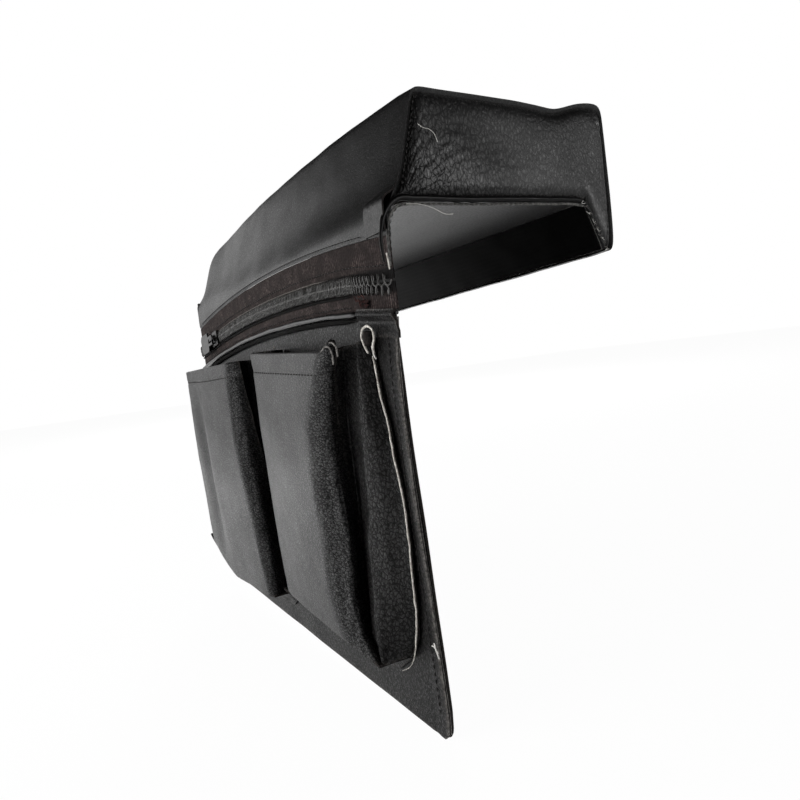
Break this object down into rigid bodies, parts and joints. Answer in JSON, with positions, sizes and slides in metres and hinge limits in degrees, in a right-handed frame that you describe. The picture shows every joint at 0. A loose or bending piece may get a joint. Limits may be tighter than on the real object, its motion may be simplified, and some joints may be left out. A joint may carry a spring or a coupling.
{
  "type": "armrest organizer",
  "caption": "Padded armrest cover with a flap on one side and, on the other, a hanging panel with an arched zip pocket and open gusseted pockets.",
  "frame": {"origin": "middle of the pad's underside, the face that rests on the armrest's lid", "axes": "+Y along the cover from the sewn end to the rounded end, -Z out of the pad's underside, the hanging panel on the -X side"},
  "size_m": [0.1435, 0.2952, 0.2629],
  "materials": {
    "leather": "pebbled matt",
    "foam": "soft foam",
    "lining": "smooth satin",
    "tape": "woven tape",
    "coil": "nylon coil",
    "slider": "black enamel"
  },
  "bodies": {
    "cover": {"top_cover": "leather", "end_panel": "leather", "end_seam": "leather", "pad_foam": "foam", "flap_foam": "foam", "pad_lining": "lining", "flap_lining": "lining", "flap_end_cap": "leather", "corner_tab": "leather"},
    "panel": {"upper_band": "leather", "upper_tape": "tape", "lower_tape": "tape", "upper_coil": "coil", "lower_coil": "coil", "zip_roll": "leather", "outer_panel": "leather", "back_panel": "leather", "near_allowance": "leather", "far_allowance": "leather", "bottom_allowance": "leather", "zip_end_patch": "leather", "near_pocket_near_gusset": "leather", "near_pocket_far_gusset": "leather", "near_pocket_bottom_gusset": "leather", "far_pocket_near_gusset": "leather", "far_pocket_far_gusset": "leather", "far_pocket_bottom_gusset": "leather"},
    "slider": {"slider_body": "slider", "slider_bridge": "slider"},
    "pull": {"pull_tab": "leather"},
    "near_front": {"near_pocket_front": "leather", "near_pocket_hem": "leather"},
    "far_front": {"far_pocket_front": "leather", "far_pocket_hem": "leather"}
  },
  "joints": [
    {"name": "panel_fold", "type": "hinge", "parent": "cover", "child": "panel", "pos_m": [-0.061, 0, -0.0045], "axis": [0, 1, 0], "range_deg": [-60, 100]},
    {"name": "zip_travel", "type": "hinge", "parent": "panel", "child": "slider", "pos_m": [-0.061, -0.02242, -1.1731], "axis": [1, 0, 0], "range_deg": [0, 11.7]},
    {"name": "pull_flip", "type": "hinge", "parent": "slider", "child": "pull", "pos_m": [-0.0658, 0.10279, -0.02993], "axis": [0, 0.1069, 0.9943], "range_deg": [0, 170]},
    {"name": "near_front_lean", "type": "hinge", "parent": "panel", "child": "near_front", "pos_m": [-0.0785, 0, -0.18013], "axis": [0, -1, 0], "range_deg": [-5, 10], "deforming": ["near_pocket_near_gusset", "near_pocket_far_gusset", "near_pocket_bottom_gusset"]},
    {"name": "far_front_lean", "type": "hinge", "parent": "panel", "child": "far_front", "pos_m": [-0.0785, 0, -0.18889], "axis": [0, -1, 0], "range_deg": [-5, 10], "deforming": ["far_pocket_near_gusset", "far_pocket_far_gusset", "far_pocket_bottom_gusset"]}
  ]
}
